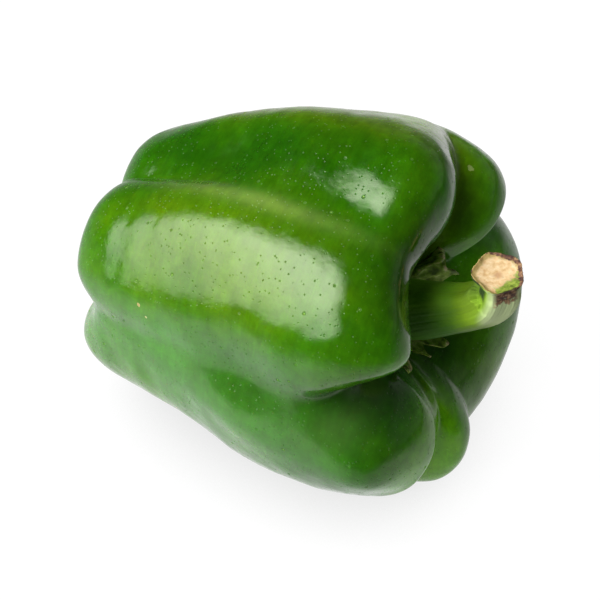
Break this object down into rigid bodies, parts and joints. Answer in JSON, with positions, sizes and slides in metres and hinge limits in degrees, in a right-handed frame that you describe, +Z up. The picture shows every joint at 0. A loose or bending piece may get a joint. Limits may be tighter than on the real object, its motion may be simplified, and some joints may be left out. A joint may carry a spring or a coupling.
{
  "type": "bell pepper",
  "caption": "Whole green bell pepper lying on its side, with rounded lobes, a stem cavity, a pointed calyx and a short curved stem.",
  "frame": {"origin": "under the middle of the pepper's bounding box, on the surface that it lies on", "axes": "+X from the blossom end towards the stem, +Y to the back, +Z up"},
  "size_m": [0.1074, 0.0896, 0.0906],
  "materials": {
    "skin": "waxy glossy green skin",
    "calyx": "dull olive leaf with dried edges",
    "stem": "satin green stem with a pale fibrous cut"
  },
  "bodies": {
    "root": {"fruit": "skin", "calyx": "calyx", "stem": "stem"}
  },
  "joints": []
}
